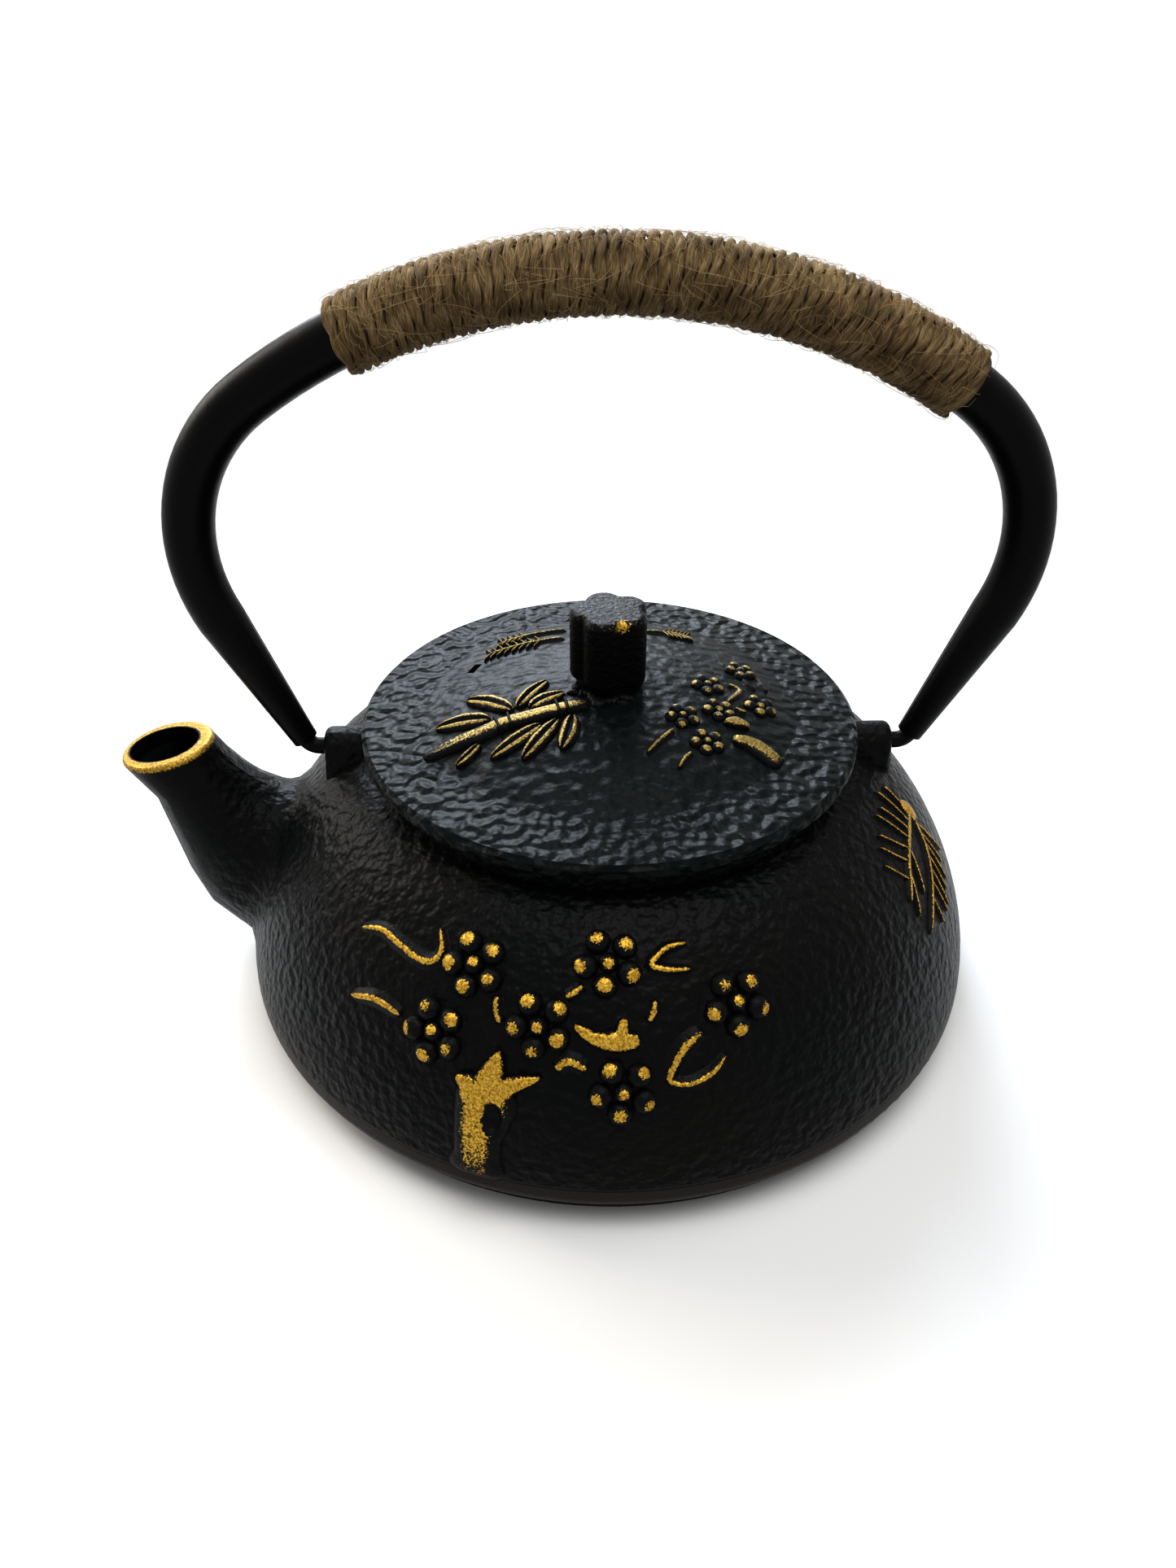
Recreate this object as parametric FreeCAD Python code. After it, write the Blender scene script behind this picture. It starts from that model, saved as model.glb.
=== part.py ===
import FreeCAD, Part
import math
import os
from FreeCAD import Vector

os.makedirs("parts", exist_ok=True)

# Driving dimensions of the cast body, in millimetres
belly_radius = 81.8
belly_height = 8.0
foot_inset = 3.6
foot_height = 4.6
foot_edge = 0.8
neck_radius = 49.0
neck_drop = 4.5
rim_height = 58.5
shoulder_power = 1.62
shoulder_stations = 9
wall = 3.6
floor_thickness = 4.2
inner_corner = 7.0
throat_drop = 2.2

# Mouth, ledge and the strainer that hangs in it
mouth_radius = 42.6
ledge_radius = 45.6
ledge_depth = 1.2
strainer_clearance = 0.6
strainer_flange = 0.8
strainer_wall = 0.6
strainer_depth = 40.0
strainer_band = 5.0

# Spout: how far its lower and upper outline reach past the belly and how high, from root to tip
spout_low = [(-7.8, 11.4), (7.4, 11.4), (13.6, 23.6), (15.4, 38.0), (19.0, 46.8), (23.8, 52.8)]
spout_high = [(-21.8, 38.0), (-12.8, 40.4), (-6.8, 43.2), (-1.4, 47.6), (1.6, 52.0), (3.6, 56.0)]
spout_half_width = [20.0, 16.0, 13.0, 10.8, 9.6, 9.2]
spout_root_round = 6.0
spout_wall = 2.7
spout_lip_round = 1.0
spout_stations = 16
seam_tolerance = 0.001

# Ears and the pin that the bail swings on
pin_radius = 1.8
pin_clearance = 0.08
pin_drop = 4.9
ear_gap = 0.7
ear_thickness = 8.2
ear_top_radius = 4.2
ear_foot_half_width = 8.5
ear_root_depth = 13.1
ear_edge_round = 1.6
pin_end_gap = 0.8

# Lid and its knob
lid_radius = 52.0
lid_band = 3.4
lid_edge_round = 0.9
flange_rise = 0.7
dome_radius = 39.0
dome_step = 0.9
dome_step_run = 3.0
dome_rise = 5.6
lid_wall = 3.2
skirt_depth = 5.0
skirt_wall = 2.8
skirt_clearance = 0.6
vent_length = 4.2
vent_width = 1.8
vent_distance = 31.0
vent_bearing = 156.0
knob_radius = 8.2
knob_lobe_radius = 3.9
knob_lobes = 5
knob_bearing = 34.0
knob_valley_round = 0.8
knob_height = 15.4
knob_edge_round = 1.3
collar_radius = 7.0
collar_height = 1.4
spigot_radius = 2.6
spigot_clearance = 0.05
rivet_radius = 6.5
rivet_thickness = 1.4
rivet_seat_gap = 0.6
peen_radius = 4.0
peen_height = 1.2

# Bail: a tube on three tangent arcs with straight tapered legs
bail_top_height = 148.4
bail_half_width = 80.6
bail_widest_height = 98.5
bail_corner_radius = 36.0
elbow_gap = 3.4
bail_tube_radius = 4.85
bail_tube_wall = 1.2
bail_foot_wall = 0.9
pin_bend_radius = 3.2
pin_socket_depth = 14.0
pin_fit = 0.03

# Jute winding on the grip: a plain core of packed turns under one outer strand
wrap_left_inset = 20.8
wrap_right_inset = 2.4
wrap_outer_radius = 6.9
wrap_clearance = 0.15
strand_radius = 0.75
strand_clearance = 0.12
strand_loops = 24
tangent_step = 0.00001

# Sizes that follow from those above
foot_radius = belly_radius - foot_inset
neck_foot_height = rim_height - neck_drop
pin_height = rim_height - pin_drop
ledge_height = rim_height - ledge_depth
lid_top_height = rim_height + lid_band
dome_foot_height = lid_top_height + flange_rise
dome_edge_height = dome_foot_height + dome_step
dome_edge_radius = dome_radius - dome_step_run
dome_top_height = dome_edge_height + dome_rise
ear_inner = lid_radius + ear_gap
ear_outer = ear_inner + ear_thickness


def point(radius, height):
    return Vector(radius, 0, height)


def line(start, end):
    return Part.makeLine(start, end)


def arc(start, middle, end):
    return Part.Arc(start, middle, end).toShape()


def cap_arc(start, end):
    """Arc that is centred on the Z axis, between two of its points."""
    centre = (start.dot(start) - end.dot(end)) / (2 * (start.z - end.z))
    bulge = math.copysign(1, (start.z + end.z) / 2 - centre)
    radius = (start - point(0, centre)).Length
    across = (start.x + end.x) / 2
    return arc(start, point(across, centre + bulge * math.sqrt(radius ** 2 - across ** 2)), end)


def turned(edges):
    """Full turn about Z of a closed outline in the XZ plane."""
    face = Part.Face(Part.Wire(edges))
    return face.revolve(Vector(0, 0, 0), Vector(0, 0, 1), 360)


def outline(points):
    """Straight edges round a closed list of points."""
    return [line(a, b) for a, b in zip(points, points[1:] + points[:1])]


def ring(inner, outer, low, high):
    """Flat ring with a square section."""
    return turned(outline([point(inner, low), point(outer, low), point(outer, high), point(inner, high)]))


def shoulder(low_radius, low, high_radius, high):
    """Curve of the belly and shoulder: a superellipse quarter from upright to flat."""
    points = []
    for station in range(shoulder_stations):
        turn = math.pi / 2 * station / (shoulder_stations - 1)
        across = math.cos(turn) ** (2 / shoulder_power)
        up = math.sin(turn) ** (2 / shoulder_power)
        points.append(point(high_radius + (low_radius - high_radius) * across, low + (high - low) * up))
    curve = Part.BSplineCurve()
    curve.interpolate(points)
    return curve.toShape()


# Spout sections
def spout_section(station, inset):
    """Oval across the spout at one station, drawn in by the wall."""
    low, high = (point(-belly_radius - reach, height)
                 for reach, height in (spout_low[station], spout_high[station]))
    centre = (low + high) * 0.5
    along = (high - low).normalize()
    half_length = (high - low).Length / 2 - inset
    half_width = spout_half_width[station] - inset
    points = []
    for station_turn in range(spout_stations):
        turn = 2 * math.pi * station_turn / spout_stations
        points.append(centre + along * (half_length * math.cos(turn)) + Vector(0, half_width * math.sin(turn), 0))
    oval = Part.BSplineCurve()
    oval.interpolate(points, PeriodicFlag=True)
    return Part.Wire([oval.toShape()])


def spout_form(inset, extra):
    """Spout from inside the body to its tip; the extra length clears the tip when it is a bore."""
    sections = [spout_section(station, inset) for station in range(len(spout_low))]
    form = Part.makeLoft(sections, True, False)
    if extra:
        tip = Part.Face(sections[-1])
        form = form.fuse(tip.extrude(tip.normalAt(0, 0).normalize() * extra))
        form = form.fuse(tip.extrude(tip.normalAt(0, 0).normalize() * -extra))
    return form


# Ears that carry the bail's pins
def ear(side):
    """Upright ear on the shoulder with a rounded head and a hole for the pin."""
    foot = neck_foot_height - ear_root_depth
    head = Vector(ear_inner, 0, pin_height)
    lean = math.atan2(ear_foot_half_width - ear_top_radius, pin_height - foot)
    cheek = Vector(0, math.cos(lean), math.sin(lean)) * ear_top_radius
    left_cheek = head + Vector(0, -cheek.y, cheek.z)
    right_cheek = head + cheek
    left_foot = Vector(ear_inner, -ear_foot_half_width, foot)
    right_foot = Vector(ear_inner, ear_foot_half_width, foot)
    crown = head + Vector(0, 0, ear_top_radius)
    wire = Part.Wire([line(left_foot, left_cheek), arc(left_cheek, crown, right_cheek),
                      line(right_cheek, right_foot), line(right_foot, left_foot)])
    solid = Part.Face(wire).extrude(Vector(ear_thickness, 0, 0))
    rims = [edge for edge in solid.Edges
            if edge.BoundBox.XLength < ear_edge_round and edge.BoundBox.ZMax > pin_height
            and abs(edge.BoundBox.XMax - ear_outer) < ear_edge_round]
    solid = solid.makeFillet(ear_edge_round, rims)
    return solid if side > 0 else solid.mirror(Vector(0, 0, 0), Vector(1, 0, 0))


def seam_edges(joined, first, second):
    """Edges of a joined shape that lie where its two parts meet."""
    seam = first.section(second)
    middles = [(edge, edge.valueAt((edge.FirstParameter + edge.LastParameter) / 2)) for edge in joined.Edges]
    return [edge for edge, middle in middles if seam.distToShape(Part.Vertex(middle))[0] < seam_tolerance]


# The iron casting
def pot_body():
    neck_foot = point(neck_radius, neck_foot_height)
    belly = point(belly_radius, belly_height)
    foot_top = point(foot_radius, foot_height)
    belly_rise = belly_height - foot_height
    turn_in_radius = (foot_inset ** 2 + belly_rise ** 2) / (2 * foot_inset)
    half_turn = math.atan2(belly_rise, turn_in_radius - foot_inset) / 2
    turn_in = point(belly_radius - turn_in_radius * (1 - math.cos(half_turn)),
                    belly_height - turn_in_radius * math.sin(half_turn))
    shell = turned([
        line(point(0, 0), point(foot_radius - foot_edge, 0)),
        line(point(foot_radius - foot_edge, 0), point(foot_radius, foot_edge)),
        line(point(foot_radius, foot_edge), foot_top),
        arc(foot_top, turn_in, belly),
        shoulder(belly_radius, belly_height, neck_radius, neck_foot_height),
        line(neck_foot, point(neck_radius, rim_height)),
        line(point(neck_radius, rim_height), point(0, rim_height)),
        line(point(0, rim_height), point(0, 0))])
    inner_radius = foot_radius - wall
    corner = point(inner_radius - inner_corner * (1 - math.sqrt(0.5)),
                   floor_thickness + inner_corner * (1 - math.sqrt(0.5)))
    inner_top = neck_foot_height - throat_drop
    cavity = turned([
        line(point(0, floor_thickness), point(inner_radius - inner_corner, floor_thickness)),
        arc(point(inner_radius - inner_corner, floor_thickness), corner,
            point(inner_radius, floor_thickness + inner_corner)),
        shoulder(inner_radius, floor_thickness + inner_corner, mouth_radius, inner_top),
        line(point(mouth_radius, inner_top), point(mouth_radius, ledge_height)),
        line(point(mouth_radius, ledge_height), point(ledge_radius, ledge_height)),
        line(point(ledge_radius, ledge_height), point(ledge_radius, rim_height + wall)),
        line(point(ledge_radius, rim_height + wall), point(0, rim_height + wall)),
        line(point(0, rim_height + wall), point(0, floor_thickness))])
    spout = spout_form(0, 0)
    lip = min((edge for edge in spout.Edges if edge.isClosed()), key=lambda edge: edge.CenterOfMass.x)
    spout = spout.makeFillet(spout_lip_round, [lip])
    casting = shell.fuse(spout)
    casting = casting.makeFillet(spout_root_round, seam_edges(casting, shell, spout))
    outside = casting.fuse([ear(1), ear(-1)])
    bore = spout_form(spout_wall, wall)
    past_ear = ear_outer + wall
    holes = Part.makeCylinder(pin_radius + pin_clearance, 2 * past_ear,
                              Vector(-past_ear, 0, pin_height), Vector(1, 0, 0))
    keep = Part.makeCylinder(ear_inner, rim_height, Vector(0, 0, 0), Vector(0, 0, 1))
    return outside.cut([cavity, bore, holes.cut(keep)]).removeSplitter()


# Lid, its knob and the rivet underneath
def lid():
    skirt_outer = mouth_radius - strainer_clearance - strainer_wall - skirt_clearance
    skirt_inner = skirt_outer - skirt_wall
    skirt_low = rim_height - skirt_depth
    under_top = dome_top_height - lid_wall
    under_edge = point(skirt_inner, dome_edge_height - lid_wall)
    rivet_seat = point(rivet_radius + rivet_seat_gap, under_top)
    dome_edge = point(dome_edge_radius, dome_edge_height)
    edge = lid_edge_round
    solid = turned([
        line(point(0, under_top), rivet_seat),
        cap_arc(rivet_seat, under_edge),
        line(under_edge, point(skirt_inner, skirt_low)),
        line(point(skirt_inner, skirt_low), point(skirt_outer, skirt_low)),
        line(point(skirt_outer, skirt_low), point(skirt_outer, rim_height)),
        line(point(skirt_outer, rim_height), point(lid_radius - edge, rim_height)),
        line(point(lid_radius - edge, rim_height), point(lid_radius, rim_height + edge)),
        line(point(lid_radius, rim_height + edge), point(lid_radius, lid_top_height - edge)),
        line(point(lid_radius, lid_top_height - edge), point(lid_radius - edge, lid_top_height)),
        line(point(lid_radius - edge, lid_top_height), point(dome_radius, dome_foot_height)),
        line(point(dome_radius, dome_foot_height), dome_edge),
        cap_arc(dome_edge, point(collar_radius, dome_top_height)),
        line(point(collar_radius, dome_top_height), point(0, dome_top_height)),
        line(point(0, dome_top_height), point(0, under_top))])
    spigot_hole = Part.makeCylinder(spigot_radius + spigot_clearance, dome_top_height, Vector(0, 0, skirt_low))
    slot = Part.makeBox(vent_width, vent_length, dome_top_height,
                        Vector(vent_distance, -vent_length / 2, rim_height - skirt_depth))
    slot.rotate(Vector(0, 0, 0), Vector(0, 0, 1), vent_bearing)
    return solid.cut([spigot_hole, slot])


def lid_knob():
    """Upright plum-flower column with a collar and the spigot that is riveted under the lid."""
    foot = dome_top_height + collar_height
    lobe_reach = knob_radius - knob_lobe_radius
    half_pitch = math.pi / knob_lobes
    valley_reach = (lobe_reach * math.cos(half_pitch)
                    + math.sqrt(knob_lobe_radius ** 2 - (lobe_reach * math.sin(half_pitch)) ** 2))
    petals = []
    for lobe in range(knob_lobes):
        turn = math.radians(knob_bearing) + 2 * half_pitch * lobe
        begin, crown, finish = (
            Vector(reach * math.cos(turn + aside), reach * math.sin(turn + aside), foot)
            for reach, aside in ((valley_reach, -half_pitch), (knob_radius, 0), (valley_reach, half_pitch)))
        petals.append(arc(begin, crown, finish))
    column = Part.Face(Part.Wire(petals)).extrude(Vector(0, 0, knob_height))
    valleys = [edge for edge in column.Edges if edge.BoundBox.ZLength > knob_height / 2]
    column = column.makeFillet(knob_valley_round, valleys)
    rims = [edge for edge in column.Edges if edge.BoundBox.ZLength < knob_edge_round]
    column = column.makeFillet(knob_edge_round, rims)
    collar = Part.makeCylinder(collar_radius, collar_height + knob_edge_round, Vector(0, 0, dome_top_height))
    spigot_low = dome_top_height - lid_wall - rivet_thickness
    spigot = Part.makeCylinder(spigot_radius, foot - spigot_low, Vector(0, 0, spigot_low))
    return column.fuse([collar, spigot]).removeSplitter()


def knob_rivet():
    """Washer under the lid with the domed head that holds the spigot."""
    top = dome_top_height - lid_wall
    low = top - rivet_thickness
    washer = ring(spigot_radius + spigot_clearance, rivet_radius, low, top)
    crown = point(0, low - peen_height)
    head = turned([line(crown, point(0, low)), line(point(0, low), point(peen_radius, low)),
                   cap_arc(point(peen_radius, low), crown)])
    return washer.fuse(head)


# Bail centre-line
corner_centre = point(bail_half_width - bail_corner_radius, bail_widest_height)
drop = bail_widest_height - bail_top_height
bail_arch_radius = ((bail_corner_radius ** 2 - corner_centre.x ** 2 - drop ** 2)
                    / (2 * (drop + bail_corner_radius)))
arch_centre = point(0, bail_top_height - bail_arch_radius)
elbow = point(ear_outer + elbow_gap, pin_height)
to_corner = corner_centre - elbow
leg_run = math.sqrt(to_corner.Length ** 2 - bail_corner_radius ** 2)
leg_rise = math.atan2(to_corner.z, to_corner.x) - math.asin(bail_corner_radius / to_corner.Length)
lean = math.pi / 2 - leg_rise
leg_along = Vector(-math.cos(leg_rise), 0, -math.sin(leg_rise))
leg_start = elbow - leg_along * leg_run
elbow_setback = pin_bend_radius * math.tan((math.pi / 2 - lean) / 2)
leg_length = leg_run - elbow_setback
arch_joint = arch_centre + (corner_centre - arch_centre).normalize() * bail_arch_radius
arch_half_turn = math.atan2(arch_joint.x, arch_joint.z - arch_centre.z)


def mirrored(vector):
    return Vector(-vector.x, vector.y, vector.z)


def bail_arcs():
    """The three tangent arcs of the bail, from the left leg to the right one."""
    middle_turn = (math.pi / 2 - arch_half_turn - lean) / 2
    middle = corner_centre + Vector(math.cos(middle_turn), 0, math.sin(middle_turn)) * bail_corner_radius
    top = point(0, bail_top_height)
    return Part.Wire([arc(mirrored(leg_start), mirrored(middle), mirrored(arch_joint)),
                      arc(mirrored(arch_joint), top, arch_joint), arc(arch_joint, middle, leg_start)])


def bail_form(radius, foot_radius_here, extra):
    """Round bar along the bail: a swept arch and two tapered legs."""
    path = bail_arcs()
    section = Part.Wire([Part.makeCircle(radius, mirrored(leg_start), mirrored(leg_along))])
    arch = path.makePipeShell([section], True, False)
    leg = Part.makeCone(radius, foot_radius_here, leg_length, leg_start, leg_along)
    if extra:
        leg = leg.fuse(Part.makeCylinder(foot_radius_here, extra, leg_start + leg_along * leg_length, leg_along))
    return arch.fuse([leg, leg.mirror(Vector(0, 0, 0), Vector(1, 0, 0))])


def bail_tube():
    bore = pin_radius + pin_fit
    outside = bail_form(bail_tube_radius, bore + bail_foot_wall, 0)
    return outside.cut(bail_form(bail_tube_radius - bail_tube_wall, bore, bail_foot_wall))


def bail_pin(side):
    """Bent rod: up inside the tube's foot, round the elbow and into the ear."""
    top = elbow - leg_along * (elbow_setback + pin_socket_depth)
    bend_start = elbow - leg_along * elbow_setback
    bend_end = elbow + Vector(-elbow_setback, 0, 0)
    bend_centre = bend_end + Vector(0, 0, pin_bend_radius)
    bend_middle = bend_centre + ((bend_start + bend_end) * 0.5 - bend_centre).normalize() * pin_bend_radius
    tip = Vector(ear_inner + pin_end_gap, 0, pin_height)
    path = Part.Wire([line(top, bend_start), arc(bend_start, bend_middle, bend_end), line(bend_end, tip)])
    rod = path.makePipeShell([Part.Wire([Part.makeCircle(pin_radius, top, leg_along)])], True, False)
    return rod if side > 0 else rod.mirror(Vector(0, 0, 0), Vector(1, 0, 0))


# Jute on the grip
wrap_start = -arch_half_turn + wrap_left_inset / bail_arch_radius
wrap_end = arch_half_turn - wrap_right_inset / bail_arch_radius
core_radius = wrap_outer_radius - 2 * strand_radius - strand_clearance
winding_radius = wrap_outer_radius - strand_radius


def on_arch(turn, out, aside):
    """A point by the arch: its turn along it, and how far out and aside it lies."""
    reach = bail_arch_radius + out
    return arch_centre + Vector(math.sin(turn) * reach, aside, math.cos(turn) * reach)


def winding_point(share):
    """A point of the strand's centre-line, with the share of its length from 0 to 1."""
    around = 2 * math.pi * strand_loops * share
    margin = 2 * strand_radius / bail_arch_radius
    turn = wrap_start + margin + (wrap_end - wrap_start - 2 * margin) * share
    return on_arch(turn, winding_radius * math.cos(around), winding_radius * math.sin(around))


def winding_tangent(share):
    """Direction of the strand's centre-line at that share of its length."""
    return (winding_point(share + tangent_step) - winding_point(share - tangent_step)).normalize()


def tangent_arc(start, tangent, end):
    """Arc from a start point and its tangent to an end point."""
    chord = end - start
    along = Vector(chord).normalize()
    bulge = tangent - along * tangent.dot(along)
    half_angle = math.acos(max(-1.0, min(1.0, tangent.dot(along)))) / 2
    sagitta = chord.Length / 2 * math.tan(half_angle)
    return arc(start, start + chord * 0.5 + bulge.normalize() * sagitta, end)


def biarc(start, start_tangent, end, end_tangent):
    """Two tangent arcs between two points with given directions."""
    chord = end - start
    both = start_tangent + end_tangent
    spread = 2 * (1 - start_tangent.dot(end_tangent))
    lean_in = chord.dot(both)
    reach = (math.sqrt(lean_in ** 2 + spread * chord.dot(chord)) - lean_in) / spread
    first = start + start_tangent * reach
    second = end - end_tangent * reach
    joint = (first + second) * 0.5
    joint_tangent = (second - first).normalize()
    return [tangent_arc(start, start_tangent, joint), tangent_arc(joint, joint_tangent, end)]


def winding_gap():
    """Least free gap of the strand to its own neighbouring turns."""
    per_loop = 36
    total = per_loop * strand_loops
    points = [winding_point(index / total) for index in range(total + 1)]
    least = min((points[i] - points[j]).Length for i in range(total)
                for j in range(i + per_loop // 2, min(i + per_loop * 3 // 2, total)))
    return least - 2 * strand_radius


def jute_strand():
    quarters = strand_loops * 4
    edges = []
    for quarter in range(quarters):
        begin = quarter / quarters
        finish = (quarter + 1) / quarters
        edges += biarc(winding_point(begin), winding_tangent(begin), winding_point(finish), winding_tangent(finish))
    lead_in = winding_point(0) - winding_tangent(0) * strand_radius * 2
    lead_out = winding_point(1) + winding_tangent(1) * strand_radius * 2
    edges = [line(lead_in, winding_point(0))] + edges + [line(winding_point(1), lead_out)]
    section = Part.Wire([Part.makeCircle(strand_radius, lead_in, winding_tangent(0))])
    return Part.Wire(edges).makePipeShell([section], True, False)


def jute_core():
    path = Part.Wire([arc(on_arch(wrap_start, 0, 0), on_arch((wrap_start + wrap_end) / 2, 0, 0),
                          on_arch(wrap_end, 0, 0))])
    tangent = Vector(math.cos(wrap_start), 0, -math.sin(wrap_start))
    bars = []
    for radius in (core_radius, bail_tube_radius + wrap_clearance):
        section = Part.Wire([Part.makeCircle(radius, on_arch(wrap_start, 0, 0), tangent)])
        bars.append(path.makePipeShell([section], True, False))
    return bars[0].cut(bars[1])


# Lift-out strainer
basket_radius = mouth_radius - strainer_clearance
flange_radius = ledge_radius - strainer_clearance
flange_top = ledge_height + strainer_flange
basket_low = ledge_height - strainer_depth


def infuser_rim():
    """Flange that lies on the ledge, with the band that holds the mesh wall."""
    band_inner = basket_radius - strainer_wall
    return turned(outline([point(band_inner, flange_top), point(band_inner, ledge_height - strainer_band),
                           point(basket_radius, ledge_height - strainer_band), point(basket_radius, ledge_height),
                           point(flange_radius, ledge_height), point(flange_radius, flange_top)]))


def infuser_basket():
    """Mesh wall under the band, flush with it."""
    return ring(basket_radius - strainer_wall, basket_radius, basket_low, ledge_height - strainer_band)


def infuser_base():
    """Flat floor under the mesh wall."""
    return Part.makeCylinder(basket_radius, strainer_wall, Vector(0, 0, basket_low - strainer_wall))


nodes = {
    "pot_body": pot_body(),
    "lid": lid(),
    "lid_knob": lid_knob(),
    "knob_rivet": knob_rivet(),
    "bail_tube": bail_tube(),
    "bail_pin_left": bail_pin(-1),
    "bail_pin_right": bail_pin(1),
    "jute_core": jute_core(),
    "jute_strand": jute_strand(),
    "infuser_rim": infuser_rim(),
    "infuser_basket": infuser_basket(),
    "infuser_base": infuser_base(),
}
for name, shape in nodes.items():
    shape.exportStep("parts/" + name + ".step")
    box = shape.BoundBox
    print(name, shape.isValid(), len(shape.Solids), "volume", round(shape.Volume),
          "x", round(box.XMin, 1), round(box.XMax, 1), "y", round(box.YMin, 1), round(box.YMax, 1),
          "z", round(box.ZMin, 1), round(box.ZMax, 1))
print("least gap of the winding", round(winding_gap(), 2), "mm")
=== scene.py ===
# %% [markdown]
# # A cast iron teapot
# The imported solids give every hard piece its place: pot, lid, bail and strainer. This lesson keeps those
# solids, gives each its finish, and adds what a casting or a winding shows up close: raised gilded
# ornament and jute twine.

# %% Load the frame
import math
import random

import bmesh
import bpy
from mathutils import Matrix, Vector
from mathutils.bvhtree import BVHTree


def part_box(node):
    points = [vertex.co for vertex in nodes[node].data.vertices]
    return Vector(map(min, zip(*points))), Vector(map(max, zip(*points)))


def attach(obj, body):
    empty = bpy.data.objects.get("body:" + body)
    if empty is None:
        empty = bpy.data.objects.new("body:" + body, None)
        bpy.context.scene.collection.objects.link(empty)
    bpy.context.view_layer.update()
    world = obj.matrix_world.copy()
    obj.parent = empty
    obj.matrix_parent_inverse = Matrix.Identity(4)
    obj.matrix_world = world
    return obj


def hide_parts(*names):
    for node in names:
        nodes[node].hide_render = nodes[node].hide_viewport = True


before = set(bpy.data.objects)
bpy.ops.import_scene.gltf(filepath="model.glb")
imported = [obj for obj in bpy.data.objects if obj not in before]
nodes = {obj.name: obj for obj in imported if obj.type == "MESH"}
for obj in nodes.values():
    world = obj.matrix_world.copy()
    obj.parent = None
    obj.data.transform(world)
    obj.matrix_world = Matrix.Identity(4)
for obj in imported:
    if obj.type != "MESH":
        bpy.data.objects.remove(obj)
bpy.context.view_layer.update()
# Blender counts in metres, and the sizes here are written in millimetres.
mm = 0.001
print("nodes", sorted(nodes))

# %% [markdown]
# ## Colours and shader nodes
# A finish is written as a small graph of shader nodes. Colours are easier to pick as sRGB hex codes, as
# in any paint program, but shaders work in linear light, so one function converts them. One more function
# adds a node, sets it and links its inputs, which keeps every material short.


# %% Helpers for finishes
def colour(code):
    """Linear RGBA of an sRGB hex code."""
    parts = [int(code[place:place + 2], 16) / 255 for place in (1, 3, 5)]
    return [part / 12.92 if part <= 0.04045 else ((part + 0.055) / 1.055) ** 2.4 for part in parts] + [1.0]


def add(tree, kind, inputs=None, stops=(), **settings):
    """Adds a shader node: settings are its properties, inputs are values or (node, output) links.

    Stops are (place, hex code) pairs along a colour ramp."""
    made = tree.nodes.new("ShaderNode" + kind)
    for key, value in settings.items():
        setattr(made, key, value)
    for _ in stops[2:]:
        made.color_ramp.elements.new(0.5)
    for index, (place, code) in enumerate(stops):
        made.color_ramp.elements[index].position = place
        made.color_ramp.elements[index].color = colour(code)
    for socket, value in (inputs or {}).items():
        if isinstance(value, tuple) and hasattr(value[0], "outputs"):
            tree.links.new(value[0].outputs[value[1]], made.inputs[socket])
        else:
            made.inputs[socket].default_value = value
    return made


def new_finish(name):
    """An empty node material and its tree."""
    finish = bpy.data.materials.new(name)
    finish.use_nodes = True
    finish.node_tree.nodes.clear()
    return finish, finish.node_tree


print("mid grey in linear light", round(colour("#808080")[0], 3))

# %% [markdown]
# ## Cast iron
# The pot is sand-cast iron under a baked black coat. The mould leaves a skin of shallow dimples. They
# could be sculpted, but forms less than a millimetre deep would need a very dense mesh, so a bump draws
# them: one noise makes the dimples and a finer one the grain of the sand. The coat is dark and half
# glossy, a little browner on the body, greener on the lid and neutral on the knob.

# %% Cast iron finish
# Moulding sand is about 0.3 mm, too fine to show, so its grain is drawn twice as coarse.
grain_width = 0.6 * mm
cloud_width = 26 * mm


def cast_iron(name, dark, light, dimple_mm, depth_mm, roughness, grain_depth_mm=0.07, shine=0.045):
    """Coated cast iron; returns the material, its tree, shader, coordinates and the dimples' bump."""
    finish, tree = new_finish(name)
    place = add(tree, "TexCoord")
    dimples = add(tree, "TexNoise", {"Vector": (place, "Object"), "Scale": 1 / (dimple_mm * mm),
                                     "Detail": 1.2, "Roughness": 0.4})
    grain = add(tree, "TexNoise", {"Vector": (place, "Object"), "Scale": 1 / grain_width, "Detail": 2.0})
    cloud = add(tree, "TexNoise", {"Vector": (place, "Object"), "Scale": 1 / cloud_width, "Detail": 3.0})
    form = add(tree, "Bump", {"Height": (dimples, "Fac"), "Distance": depth_mm * mm, "Strength": 1.0})
    skin = add(tree, "Bump", {"Height": (grain, "Fac"), "Distance": grain_depth_mm * mm, "Strength": 1.0,
                              "Normal": (form, "Normal")})
    tone = add(tree, "ValToRGB", {"Fac": (cloud, "Fac")}, [(0.3, dark), (0.75, light)])
    dull = add(tree, "MapRange", {"Value": (grain, "Fac"), "From Min": 0.3, "From Max": 0.7,
                                  "To Min": roughness - 0.05, "To Max": roughness + 0.07})
    shader = add(tree, "BsdfPrincipled", {"Base Color": (tone, "Color"), "Roughness": (dull, "Result"),
                                          "Normal": (skin, "Normal"), "Specular IOR Level": shine})
    add(tree, "OutputMaterial", {"Surface": (shader, "BSDF")})
    return finish, tree, shader, place, form


# Body: deep dimples under a brown-black coat give the eye a leathery skin that is half dull.
body_iron, body_tree, body_shader, body_place, body_form = cast_iron(
    "body_cast_iron", "#020404", "#0a0908", dimple_mm=1.9, depth_mm=0.75, roughness=0.38, shine=0.038)
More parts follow.
